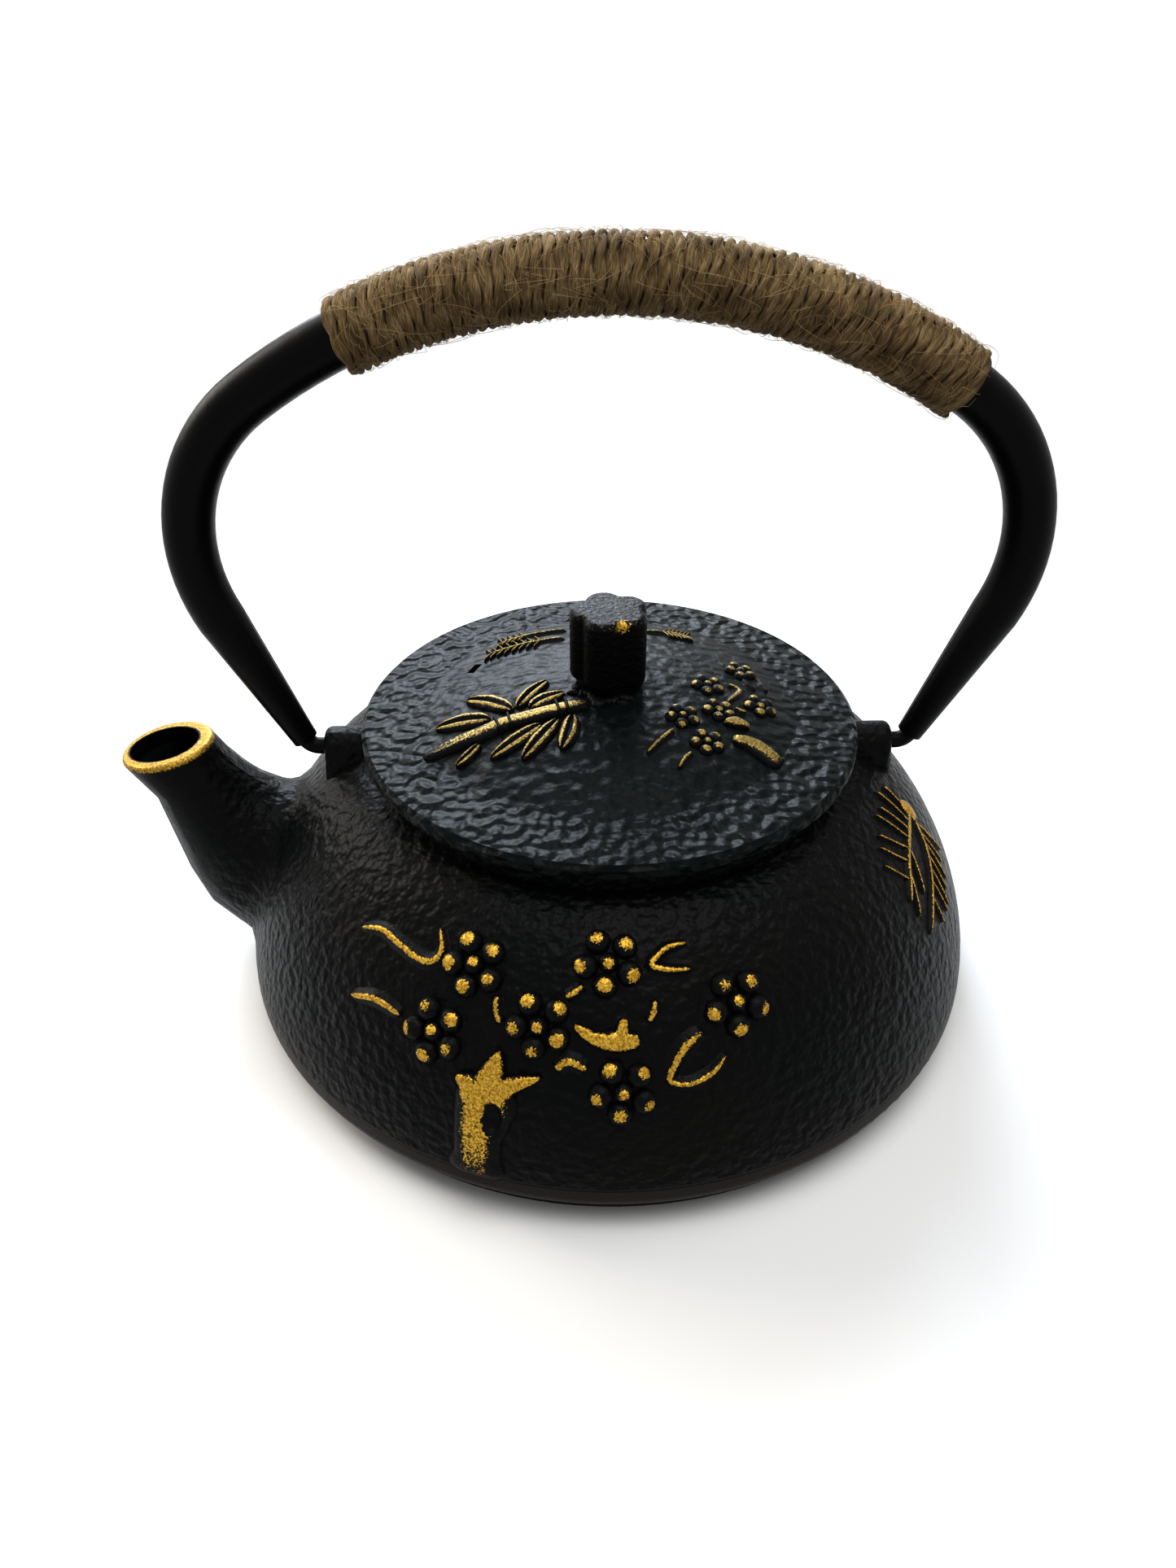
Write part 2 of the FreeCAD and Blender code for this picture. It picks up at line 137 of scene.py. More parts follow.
# Lid: the same coat, a little greener, with weak dimples that leave room for the hammer's larger marks.
lid_iron, lid_tree, lid_shader, lid_place, lid_form = cast_iron(
    "lid_cast_iron", "#030606", "#070c0c", dimple_mm=2.0, depth_mm=0.25, roughness=0.36, shine=0.041)
# Knob: a small casting with a fine, sandy skin, nearly black and dull.
knob_iron, knob_tree, knob_shader, knob_place, _ = cast_iron(
    "knob_cast_iron", "#030303", "#060606", dimple_mm=1.1, depth_mm=0.2, roughness=0.38,
    grain_depth_mm=0.12, shine=0.03)
print("iron finishes", body_iron.name, lid_iron.name, knob_iron.name)

# %% [markdown]
# The spout was smoothed by hand before casting, so the body's dimples fade out along it, and the turned
# band of the foot has none. A crease parts that band from the belly. The crease is painted near black, a
# painted shade under the belly's edge, and the band is painted a lighter grey, a painted reflection of the
# floor. Both could be separate finishes on separate faces, but the solid has no edge there, so masks on
# the object's own x and z steer the bump and the colour of the one iron.

# %% Smooth spout and foot band
spout_root = -80 * mm
spout_smooth = -88 * mm
foot_band = 10.7 * mm
crease_soft = 0.25 * mm
crease_depth = 0.4 * mm
crease_shade_half_width = 0.5 * mm
body_split = add(body_tree, "SeparateXYZ", {0: (body_place, "Object")})
spout_calm = add(body_tree, "MapRange", {"Value": (body_split, "X"), "From Min": spout_smooth,
                                         "From Max": spout_root, "To Min": 0.12, "To Max": 1.0})
above_foot = add(body_tree, "MapRange", {"Value": (body_split, "Z"), "From Min": foot_band - crease_soft,
                                         "From Max": foot_band + crease_soft})
rough = add(body_tree, "Math", {0: (spout_calm, "Result"), 1: (above_foot, "Result")}, operation="MULTIPLY")
body_tree.links.new(rough.outputs[0], body_form.inputs["Strength"])
crease = add(body_tree, "Bump", {"Height": (above_foot, "Result"), "Distance": crease_depth})
body_tree.links.new(crease.outputs["Normal"], body_form.inputs["Normal"])
body_tone = body_shader.inputs["Base Color"].links[0].from_node
# Below the crease the iron is painted a lighter grey, a painted reflection of the floor on the band.
painted_band_reflection = add(body_tree, "Mix", {0: (above_foot, "Result"), 6: colour("#2b2926"), 7: (body_tone, "Color")},
             data_type="RGBA")
# A thin line at the crease is painted near black, as painted shade under the belly's edge.
in_painted_crease_shade = add(body_tree, "Math", {0: (body_split, "Z"), 1: foot_band, 2: crease_shade_half_width},
                operation="COMPARE")
crease_painted_shade = add(body_tree, "Mix", {0: (in_painted_crease_shade, 0), 6: (painted_band_reflection, 2), 7: colour("#010101")}, data_type="RGBA")
body_tree.links.new(crease_painted_shade.outputs[2], body_shader.inputs["Base Color"])
print("foot band below", foot_band, "m, smooth spout beyond", spout_smooth, "m")

# %% [markdown]
# The lid's flange looks hammered: shallow blows lie side by side. The cells of a Voronoi pattern would
# part them by hard lines, like cracks, while real blows run softly into each other, so a smooth noise of
# the blows' width makes them. They are half as strong on the dome in the middle of the lid.

# %% Hammered flange
blow_width = 2.4 * mm
blow_depth = 1.5 * mm
dome_edge = 39.0 * mm
blows = add(lid_tree, "TexNoise", {"Vector": (lid_place, "Object"), "Scale": 1 / blow_width, "Detail": 0.2,
                                   "Distortion": 0.1})
flat_place = add(lid_tree, "VectorMath", {0: (lid_place, "Object"), 1: (1, 1, 0)}, operation="MULTIPLY")
from_axis = add(lid_tree, "VectorMath", {0: (flat_place, 0)}, operation="LENGTH")
flange_share = add(lid_tree, "MapRange", {"Value": (from_axis, "Value"), "From Min": dome_edge - 1.5 * mm,
                                          "From Max": dome_edge + 1.0 * mm, "To Min": 0.5, "To Max": 1.0})
hammered = add(lid_tree, "Bump", {"Height": (blows, "Fac"), "Distance": blow_depth,
                                  "Strength": (flange_share, "Result")})
lid_tree.links.new(hammered.outputs["Normal"], lid_form.inputs["Normal"])
print("blows of", blow_width, "m on the flange beyond", dome_edge, "m")

# %% [markdown]
# ## Gilding
# Gold paint is wiped over the raised ornament, and years of washing leave it only in patches on the
# crowns. A painted image could say where, but it would need an unwrapped mesh. A vertex attribute, gilt,
# is simpler: each shape sets it above zero near its crown, and noise breaks the edge of the paint into
# crumbs. The gold on the lid is darker and more worn than on the body.

# %% Gilding over iron
crumb_width = 0.45 * mm
gold_roughness = 0.45
gold_metallic = 0.8
bright_gold = ("#5a3f10", "#ab8126", "#d4ad45")
worn_gold = ("#3d300f", "#776128", "#9a8549")


def gild(tree, shader, place, mask_source, start, soft, crumbs, tints=bright_gold):
    """Mixes worn gold into an iron shader where a mask value passes a start value.

    Soft is the width of the paint's edge and crumbs how far the noise moves it, in the mask's own unit."""
    wear = add(tree, "TexNoise", {"Vector": (place, "Object"), "Scale": 1 / crumb_width, "Detail": 3.0,
                                  "Roughness": 0.8})
    worn = add(tree, "MapRange", {"Value": (wear, "Fac"), "From Min": 0.3, "From Max": 0.7,
                                  "To Min": -crumbs, "To Max": crumbs})
    level = add(tree, "Math", {0: mask_source, 1: (worn, "Result")}, operation="ADD")
    mask = add(tree, "MapRange", {"Value": (level, 0), "From Min": start, "From Max": start + soft})
    tint = add(tree, "ValToRGB", {"Fac": (wear, "Fac")}, list(zip((0.34, 0.5, 0.64), tints)))
    iron_colour = shader.inputs["Base Color"].links[0].from_socket
    colour_output = list(iron_colour.node.outputs).index(iron_colour)
    iron_dull = shader.inputs["Roughness"].links[0].from_socket
    paint = add(tree, "Mix", {0: (mask, "Result"), 6: (iron_colour.node, colour_output),
                              7: (tint, "Color")}, data_type="RGBA")
    sheen = add(tree, "Mix", {0: (mask, "Result"), 2: (iron_dull.node, iron_dull.name), 3: gold_roughness},
                data_type="FLOAT")
    metal = add(tree, "Math", {0: (mask, "Result"), 1: gold_metallic}, operation="MULTIPLY")
    tree.links.new(paint.outputs[2], shader.inputs["Base Color"])
    tree.links.new(sheen.outputs[0], shader.inputs["Roughness"])
    tree.links.new(metal.outputs[0], shader.inputs["Metallic"])


def gilded_iron(name, tints):
    """Smooth black iron with crumbling gold paint wherever the attribute gilt is above zero."""
    finish, tree, shader, place, _ = cast_iron(name, "#040505", "#0a0909", dimple_mm=1.3, depth_mm=0.15,
                                               roughness=0.36, grain_depth_mm=0.14)
    gilt = add(tree, "Attribute", attribute_name="gilt")
    gild(tree, shader, place, (gilt, "Fac"), start=0.0, soft=0.12, crumbs=0.75, tints=tints)
    return finish


# On the body the gold is warm and bright, and gives the eye crisp flecks against the black.
relief_iron = gilded_iron("gilded_relief_iron", bright_gold)
# On the lid it is duller and greener, so that it sinks into the iron.
lid_relief_iron = gilded_iron("lid_gilded_relief_iron", worn_gold)
print("gilded finishes", relief_iron.name, lid_relief_iron.name)

# %% [markdown]
# The spout's lip is gilded too, and there the gold lies on the solid itself. The two ends of the mouth's
# long axis give its plane. A dot product with the plane's direction is a height above it, and an oval
# reach tells the lip from the bore, which stays black. Marking faces by hand would break when the solid
# is made again.

# %% Gold on the spout's lip
tip_low = Vector((-105.6, 0, 52.8)) * mm
tip_high = Vector((-85.4, 0, 56.0)) * mm
bore_half_length = 7.5 * mm
bore_half_width = 6.5 * mm
lip_begins = -2.2 * mm
lip_full = -0.2 * mm
lip_gold = ("#4a3610", "#8f6e24", "#b8943e")
tip_centre = (tip_low + tip_high) / 2
tip_along = (tip_high - tip_low).normalized()
tip_up = tip_along.cross(Vector((0, 1, 0)))
from_tip = add(body_tree, "VectorMath", {0: (body_place, "Object"), 1: tip_centre}, operation="SUBTRACT")
above = add(body_tree, "VectorMath", {0: (from_tip, 0), 1: tip_up}, operation="DOT_PRODUCT")
long_reach = add(body_tree, "VectorMath", {0: (from_tip, 0), 1: tip_along / bore_half_length},
                 operation="DOT_PRODUCT")
wide_reach = add(body_tree, "VectorMath", {0: (from_tip, 0), 1: (0, 1 / bore_half_width, 0)},
                 operation="DOT_PRODUCT")
oval = add(body_tree, "CombineXYZ", {0: (long_reach, "Value"), 1: (wide_reach, "Value")})
oval_reach = add(body_tree, "VectorMath", {0: (oval, 0)}, operation="LENGTH")
near_plane = add(body_tree, "MapRange", {"Value": (above, "Value"), "From Min": lip_begins,
                                         "From Max": lip_full})
past_bore = add(body_tree, "MapRange", {"Value": (oval_reach, "Value"), "From Min": 1.0, "From Max": 1.08})
near_lip = add(body_tree, "MapRange", {"Value": (oval_reach, "Value"), "From Min": 1.75, "From Max": 1.55})
lip_ring = add(body_tree, "Math", {0: (past_bore, "Result"), 1: (near_lip, "Result")}, operation="MULTIPLY")
lip = add(body_tree, "Math", {0: (near_plane, "Result"), 1: (lip_ring, 0)}, operation="MULTIPLY")
gild(body_tree, body_shader, body_place, (lip, 0), start=0.55, soft=0.15, crumbs=0.22, tints=lip_gold)
print("lip plane", tip_centre, tip_up)

# %% [markdown]
# Fingers have rubbed the knob. Its flat top is scuffed to grey specks, and the edge of a front lobe keeps
# a little gold. Both are masks on the object's own coordinates: the height of a point, and its distance
# from a spot. They cost no faces and move with the knob.

# %% Wear on the knob
knob_top = 85.9 * mm
rubbed_depth = 1.2 * mm
scuff_width = 0.7 * mm
worn_edge = Vector((2.2, -6.6, 85.3)) * mm
gold_ends = 2.7 * mm
gold_full = 0.4 * mm
knob_split = add(knob_tree, "SeparateXYZ", {0: (knob_place, "Object")})
rubbed = add(knob_tree, "TexNoise", {"Vector": (knob_place, "Object"), "Scale": 1 / scuff_width,
                                     "Detail": 3.0})
near_top = add(knob_tree, "MapRange", {"Value": (knob_split, "Z"), "From Min": knob_top - rubbed_depth,
                                       "From Max": knob_top, "To Max": 0.4})
scuffs = add(knob_tree, "MapRange", {"Value": (rubbed, "Fac"), "From Min": 0.54, "From Max": 0.66})
bare = add(knob_tree, "Math", {0: (near_top, "Result"), 1: (scuffs, "Result")}, operation="MULTIPLY")
coat = knob_shader.inputs["Base Color"].links[0].from_node
grey = add(knob_tree, "Mix", {0: (bare, 0), 6: (coat, "Color"), 7: colour("#8a8780")}, data_type="RGBA")
knob_tree.links.new(grey.outputs[2], knob_shader.inputs["Base Color"])
from_edge = add(knob_tree, "VectorMath", {0: (knob_place, "Object"), 1: worn_edge}, operation="DISTANCE")
close = add(knob_tree, "MapRange", {"Value": (from_edge, "Value"), "From Min": gold_ends,
                                    "From Max": gold_full})
gild(knob_tree, knob_shader, knob_place, (close, "Result"), start=0.62, soft=0.15, crumbs=0.45)
print("knob worn at", worn_edge)

# %% [markdown]
# ## Bail paint
# The bail is a drawn steel tube in satin black paint, smoother than the casting. A plain black would look
# like plastic, so a faint unevenness, as sprayed paint has, moves both the bump and the roughness.

# %% Bail paint
spray_width = 1.6 * mm
spray_depth = 0.03 * mm
# Satin black paint gives the eye an even black with a broad, soft gleam along the tube.
bail_paint, paint_tree = new_finish("satin_black_paint")
paint_place = add(paint_tree, "TexCoord")
spray = add(paint_tree, "TexNoise", {"Vector": (paint_place, "Object"), "Scale": 1 / spray_width,
                                     "Detail": 2.0})
paint_skin = add(paint_tree, "Bump", {"Height": (spray, "Fac"), "Distance": spray_depth})
paint_dull = add(paint_tree, "MapRange", {"Value": (spray, "Fac"), "To Min": 0.3, "To Max": 0.45})
paint_shader = add(paint_tree, "BsdfPrincipled", {
    "Base Color": colour("#020202"), "Roughness": (paint_dull, "Result"), "Specular IOR Level": 0.04,
    "Normal": (paint_skin, "Normal")})
add(paint_tree, "OutputMaterial", {"Surface": (paint_shader, "BSDF")})
print("paint", bail_paint.name)

# %% [markdown]
# ## Strainer steel
# The strainer inside is brushed stainless steel, with its wall and bottom full of small holes. Thousands
# of holes cut in the mesh would cost more faces than the rest of the pot, so a regular pattern of dark
# spots draws them: by angle and height round the wall, and by x and y across the bottom.

# %% Strainer steel
# Brush marks are about 0.05 mm apart, too fine to show, so they are drawn five times as coarse.
brush_width = 0.25 * mm
brush_depth = 0.03 * mm
brush_stretch = (0.04, 0.04, 1.0)


def brushed_steel(name):
    """Brushed stainless steel; returns the material, its tree, its shader and the object coordinates."""
    finish, tree = new_finish(name)
    place = add(tree, "TexCoord")
    drawn = add(tree, "Mapping", {"Vector": (place, "Object"), "Scale": brush_stretch})
    lines = add(tree, "TexNoise", {"Vector": (drawn, 0), "Scale": 1 / brush_width, "Detail": 3.0})
    skin = add(tree, "Bump", {"Height": (lines, "Fac"), "Distance": brush_depth})
    tone = add(tree, "ValToRGB", {"Fac": (lines, "Fac")}, [(0.3, "#b9b7b2"), (0.7, "#d6d4cf")])
    shader = add(tree, "BsdfPrincipled", {"Base Color": (tone, "Color"), "Metallic": 1.0, "Roughness": 0.32,
                                          "Normal": (skin, "Normal")})
    add(tree, "OutputMaterial", {"Surface": (shader, "BSDF")})
    return finish, tree, shader, place


def pierce(tree, shader, rows):
    """Darkens steel at the middle of each unit square of a flat pattern, as small drilled holes."""
    steel_tone = shader.inputs["Base Color"].links[0].from_node
    holes = add(tree, "TexVoronoi", {"Vector": rows, "Scale": 1.0, "Randomness": 0.0},
                voronoi_dimensions="2D")
    edge = add(tree, "MapRange", {"Value": (holes, "Distance"), "From Min": 0.28, "From Max": 0.34})
    drilled = add(tree, "Mix", {0: (edge, "Result"), 6: colour("#0a0a0a"), 7: (steel_tone, "Color")},
                  data_type="RGBA")
    tree.links.new(drilled.outputs[2], shader.inputs["Base Color"])


# Brushed steel gives the eye a pale grey metal with streaks round the basket; the holes make it a sieve.
steel = brushed_steel("brushed_stainless_steel")[0]
hole_pitch = 1.8 * mm
basket_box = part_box("infuser_basket")
holes_round = round(math.pi * (basket_box[1][0] - basket_box[0][0]) / hole_pitch)
wall_steel, wall_tree, wall_shader, wall_place = brushed_steel("perforated_steel_wall")
wall_split = add(wall_tree, "SeparateXYZ", {0: (wall_place, "Object")})
wall_turn = add(wall_tree, "Math", {0: (wall_split, "Y"), 1: (wall_split, "X")}, operation="ARCTAN2")
wall_flat = add(wall_tree, "CombineXYZ", {0: (wall_turn, 0), 1: (wall_split, "Z")})
wall_scale = (holes_round / (2 * math.pi), 1 / hole_pitch, 1)
wall_rows = add(wall_tree, "VectorMath", {0: (wall_flat, 0), 1: wall_scale}, operation="MULTIPLY")
pierce(wall_tree, wall_shader, (wall_rows, 0))
base_steel, base_tree, base_shader, base_place = brushed_steel("perforated_steel_base")
base_rows = add(base_tree, "VectorMath", {0: (base_place, "Object"), "Scale": 1 / hole_pitch},
                operation="SCALE")
pierce(base_tree, base_shader, (base_rows, 0))
print("strainer with", holes_round, "holes round its wall")

# %% [markdown]
# ## Jute
# Jute is a raw plant fibre: dull, straw-coloured to brown, and streaked along the twine. A pattern on
# Object coordinates would cut across the turns, so the streaks read an attribute, fibre, that runs with
# the twine. A second, wider noise lets the colour wander from turn to turn.

# %% Jute finish
drift_width = 5 * mm
streak_depth = 0.4 * mm


def jute(name, dark, middle_tone, light):
    """Raw plant fibre, streaked along the attribute fibre."""
    finish, tree = new_finish(name)
    place = add(tree, "TexCoord")
    strand = add(tree, "Attribute", attribute_name="fibre")
    fibre = add(tree, "TexNoise", {"Vector": (strand, "Vector"), "Scale": 1.0, "Detail": 4.0,
                                   "Roughness": 0.65})
    drift = add(tree, "TexNoise", {"Vector": (place, "Object"), "Scale": 1 / drift_width, "Detail": 3.0})
    both = add(tree, "Mix", {0: 0.4, 2: (fibre, "Fac"), 3: (drift, "Fac")}, data_type="FLOAT")
    tone = add(tree, "ValToRGB", {"Fac": (both, 0)}, [(0.36, dark), (0.5, middle_tone), (0.64, light)])
    skin = add(tree, "Bump", {"Height": (fibre, "Fac"), "Distance": streak_depth})
    shader = add(tree, "BsdfPrincipled", {"Base Color": (tone, "Color"), "Roughness": 0.8,
                                          "Specular IOR Level": 0.2, "Normal": (skin, "Normal")})
    add(tree, "OutputMaterial", {"Surface": (shader, "BSDF")})
    return finish


# Twine gives the eye a dull brown that is dark in the grooves; single hairs get a paler copy of the jute,
# a painted highlight for the light they catch.
twine_jute = jute("jute_twine", "#2a200f", "#6e5735", "#ab9062")
painted_highlight_jute = jute("jute_hair_painted_highlight", "#7d6439", "#b09260", "#dac293")
print("jute finishes", twine_jute.name, painted_highlight_jute.name)

# %% [markdown]
# ## Dressing the solids
# Each solid takes one finish. The twine's core is shown too, in the jute's own colour, because it can be
# glimpsed between the turns.

# %% Finishes on the solids
finishes = {"pot_body": body_iron, "lid": lid_iron, "lid_knob": knob_iron, "knob_rivet": steel,
            "bail_tube": bail_paint, "bail_pin_left": bail_paint, "bail_pin_right": bail_paint,
            "infuser_rim": steel, "infuser_basket": wall_steel, "infuser_base": base_steel,
            "jute_core": twine_jute}
for name, finish in finishes.items():
    nodes[name].data.materials.clear()
    nodes[name].data.materials.append(finish)
print("finished", len(finishes), "solids")

# %% [markdown]
# ## Seating ornament on the casting
# Ornament is cast with the pot, so it must sit on the surface from every side. A Shrinkwrap modifier
# could press it on, but would flatten it too. Here a ray finds the surface first: towards the axis for
# the body, where a place is a bearing and a height, and straight down for the lid, where it is x and y.


# %% Finding the surface
def surface_of(node):
    """A search tree of a solid's merged mesh, for rays and nearest points."""
    solid = bmesh.new()
    solid.from_mesh(node.data)
    bmesh.ops.remove_doubles(solid, verts=solid.verts, dist=0.001 * mm)
    tree = BVHTree.FromBMesh(solid)
    solid.free()
    return tree


body_surface = surface_of(nodes["pot_body"])
lid_surface = surface_of(nodes["lid"])
# Rays start well outside the pot, in metres.
ray_start = 0.15
ray_top = 0.12


def on_body(bearing, height):
    """Point and normal of the body at a bearing from the front, in degrees, and a height in mm."""
    turn = math.radians(bearing)
    outward = Vector((math.sin(turn), -math.cos(turn), 0))
    start = outward * ray_start + Vector((0, 0, height * mm))
    spot, normal, _, _ = body_surface.ray_cast(start, -outward)
    return spot, normal


def on_lid(x, y):
    """Point and normal of the lid's top at x and y in mm."""
    spot, normal, _, _ = lid_surface.ray_cast(Vector((x * mm, y * mm, ray_top)), Vector((0, 0, -1)))
    return spot, normal


on_pot = (on_body, body_surface)
on_cover = (on_lid, lid_surface)
print("front of the body at 30 mm", on_body(0, 30)[0])

# %% [markdown]
# ## Beads
# Petals and buds are round drops of iron, half sunk in the casting. A sphere from one operator, flattened
# and turned to the surface, is enough, since its lower half is never seen. Its height also says where the
# gold holds: near the crown, which may lean to one side, as paint is wiped on from one side.


# %% Beads
def ornament_mesh():
    """An empty mesh with the layer that says where gold holds."""
    mesh = bmesh.new()
    mesh.verts.layers.float.new("gilt")
    return mesh


gilt_soft = 0.14


def bead(mesh, spot, normal, along, length, width, height, gold_from, lean=0.0):
    """Flattened half-sunk sphere with gold on its crown, which leans by an angle along its length."""
    layer = mesh.verts.layers.float["gilt"]
    along = (along - normal * along.dot(normal)).normalized()
    across = normal.cross(along)
    for vert in bmesh.ops.create_uvsphere(mesh, u_segments=16, v_segments=10, radius=1.0)["verts"]:
        vert[layer] = (vert.co.y * math.cos(lean) + vert.co.z * math.sin(lean) - gold_from) / gilt_soft
        vert.co = (spot + along * vert.co.z * length / 2 + across * vert.co.x * width / 2
                   + normal * vert.co.y * height)


chance = random.Random(7)


def blossom(mesh, cast, place, down, ring_mm, petal_mm, height_mm):
    """Five petals round a centre bead, one of them pointing down."""
    spot, normal = cast[0](*place)
    side = (down - normal * down.dot(normal)).normalized()
    for petal in range(5):
        way = Matrix.Rotation(math.radians(72 * petal - 8), 3, normal) @ side
        foot, up, _, _ = cast[1].find_nearest(spot + way * ring_mm * mm)
        bead(mesh, foot, up, way, petal_mm * mm, petal_mm * 1.06 * mm, height_mm * mm,
             gold_from=chance.uniform(0.8, 0.93), lean=chance.uniform(-0.1, 0.75))
    bead(mesh, spot, normal, side, petal_mm * 0.84 * mm, petal_mm * 0.84 * mm, height_mm * mm,
         gold_from=0.86, lean=chance.uniform(-0.4, 0.4))


print("a blossom is six beads")

# %% [markdown]
# ## Sections of stems and leaves
# All the rest is drawn with raised lines. A section says how such a line rises from edge to edge and
# where gold holds: a soft hump for twigs and needles, a flatter top for bark and for the bamboo's culm,
# the hump without gold for the culm's rings and for faint leaves, and a groove down the middle for bamboo
# leaves.

# %% Sections
across_shares = [place / 8 for place in range(-8, 9)]
twig_section = [(u, math.cos(math.pi * u / 2) ** 2, (math.cos(math.pi * u / 2) ** 2 - 0.86) / 0.18)
                for u in across_shares]
bark_section = [(u, (1 - u ** 4) ** 0.8, min(1.0, (0.68 - abs(u)) / 0.3)) for u in across_shares]
ring_section = [(u, rise, -1.0) for u, rise, _ in twig_section]
culm_section = [(u, rise, min(0.7, (0.55 - abs(u)) / 0.3)) for u, rise, _ in bark_section]
leaf_section = [(u, math.sqrt(1 - u * u) * (1 - 0.75 * math.exp(-(u / 0.2) ** 2)),
                 0.6 - ((abs(u) - 0.5) / 0.2) ** 2) for u in across_shares]
print("sections with", len(across_shares), "points")

# %% [markdown]
# ## Ridges
# A ridge follows a line on the surface. At each step its section is laid across, every point is dropped
# on the casting and then raised, so the foot runs into the iron as in a real mould. A curve with a bevel
# would be quicker, but it stays a round tube and can't follow the casting on both sides.


# %% Ridges
def smooth_route(route, steps):
    """Points of a smooth line through the route's points, in the route's own coordinates."""
    ends = [route[0]] + list(route) + [route[-1]]
    points = []
    for before, here, there, after in zip(ends, ends[1:], ends[2:], ends[3:]):
        for step in range(steps):
            t = step / steps
            points.append(tuple(
                0.5 * (2 * b + (c - a) * t + (2 * a - 5 * b + 4 * c - d) * t * t
                       + (3 * b - a - 3 * c + d) * t ** 3)
                for a, b, c, d in zip(before, here, there, after)))
    return points + [tuple(route[-1])]


edge_sunk_mm = 0.06
base_sunk_mm = 0.5


def ridge(mesh, cast, route, widths, height, section, fade=0.0, steps=6):
    """Raised line on a casting; widths, spread evenly, and height in mm; fade wears gold off along it."""
    place_on, surface = cast
    layer = mesh.verts.layers.float["gilt"]
    spots = [place_on(*place) for place in smooth_route(route, steps)]
    rows = []
    for index, (spot, normal) in enumerate(spots):
        share = index / (len(spots) - 1)
        at = share * (len(widths) - 1)
        low = min(int(at), len(widths) - 2)
        half_width = (widths[low] + (widths[low + 1] - widths[low]) * (at - low)) / 2 * mm
        swell = math.sqrt(1 - abs(2 * share - 1) ** 8)
        along = spots[min(index + 1, len(spots) - 1)][0] - spots[max(index - 1, 0)][0]
        across = normal.cross(along).normalized()
        row = []
        for u, rise, gold in section:
            foot, up, _, _ = surface.find_nearest(spot + across * u * half_width * (0.3 + 0.7 * swell))
            vert = mesh.verts.new(foot + up * (rise * swell * height - edge_sunk_mm) * mm)
            vert[layer] = gold - fade * share - 2 * (1 - swell)
            row.append(vert)
        for edge in (row[-1], row[0]):
            row.append(mesh.verts.new(edge.co - normal * base_sunk_mm * mm))
        rows.append(row)
    for row, following in zip(rows, rows[1:]):
        for a, b, c, d in zip(row, row[1:] + row[:1], following[1:] + following[:1], following):
            mesh.faces.new((a, b, c, d))
    mesh.faces.new(rows[0][::-1])
    mesh.faces.new(rows[-1])


print("ridges sink", edge_sunk_mm, "mm at their edges")

# %% [markdown]
# ## From a mesh to a piece
# All the beads and ridges of one side are gathered in one mesh and become one piece, which rides on the
# pot or on the lid and moves with it. Their lower sides overlap inside the iron, where nobody looks, so
# no slow boolean is needed to join them. A small hollow can still be pressed into what is laid.


# %% Hollows and finished relief
def hollow(mesh, spot, normal, up, half_width, half_height, depth):
    """Sinks a bare oval into ornament that is already laid."""
    layer = mesh.verts.layers.float["gilt"]
    side = normal.cross(up)
    for vert in mesh.verts:
        reach = vert.co - spot
        oval_share = math.hypot(reach.dot(side) / half_width, reach.dot(up) / half_height)
        if oval_share < 1:
            vert.co -= normal * depth * (1 - oval_share ** 4)
            vert[layer] = -1.0


def finish_relief(name, mesh, body, finish):
    """Turns the gathered mesh into a piece that rides on a body."""
    bmesh.ops.recalc_face_normals(mesh, faces=mesh.faces)
    data = bpy.data.meshes.new(name)
    mesh.to_mesh(data)
    mesh.free()
    data.shade_smooth()
    data.materials.append(finish)
    piece = bpy.data.objects.new(name, data)
    bpy.context.scene.collection.objects.link(piece)
    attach(piece, body)
    print(name, len(data.vertices), "vertices")


print("three pieces of relief will ride on the pot and the lid")

# %% [markdown]
# ## Plum tree on the body's front
# A short gnarled trunk with a knot hole forks into branches with blossoms, the usual plum of a winter
# motif. It could be sculpted on the pot, but separate beads and ridges keep each petal and twig easy to
# move. Places are bearings from the front and heights above the table.

# %% Plum tree
plum = ornament_mesh()
body_blossoms = [(-23.8, 45.4), (-27.4, 34.7), (-12.0, 39.4), (-1.9, 48.0), (17.7, 41.3), (0.2, 30.3)]
for place in body_blossoms:
    blossom(plum, on_pot, place, Vector((0, 0, -1)), ring_mm=4.05, petal_mm=4.5, height_mm=2.0)
body_twigs = [
    ([(-46.5, 42.9), (-42.2, 44.5), (-37.9, 44.2), (-33.3, 43.6), (-30.5, 44.2), (-30.0, 46.1),
      (-31.8, 48.2)], [2.6, 4.0, 4.2, 4.2, 3.6, 2.4]),
    ([(-42.9, 33.3), (-38.8, 35.1), (-35.7, 35.3), (-33.2, 34.9)], [2.8, 4.4, 4.4, 3.0]),
    ([(11.7, 49.5), (7.8, 49.2), (5.1, 47.6), (8.3, 46.8), (11.6, 46.6)], [2.2, 3.0, 3.4, 3.0, 2.2]),
    ([(11.9, 38.5), (8.9, 36.5), (6.7, 33.0), (6.8, 31.5), (9.3, 30.9), (12.5, 32.1), (14.8, 34.5)],
     [4.6, 5.0, 4.0, 3.2, 3.2, 3.4, 2.4]),
    ([(-18.9, 42.4), (-18.6, 40.5), (-17.6, 38.8)], [2.8, 3.4, 2.4]),
    ([(-8.4, 43.6), (-7.1, 44.3), (-5.8, 45.2)], [2.8, 3.4, 2.4]),
    ([(-9.1, 33.5), (-7.2, 34.9), (-4.6, 33.7)], [4.4, 4.6, 3.4]),
    ([(4.0, 40.6), (4.8, 41.8), (5.2, 43.4)], [2.6, 3.6, 2.2]),
]
for route, widths in body_twigs:
    ridge(plum, on_pot, route, widths, 1.1, twig_section)
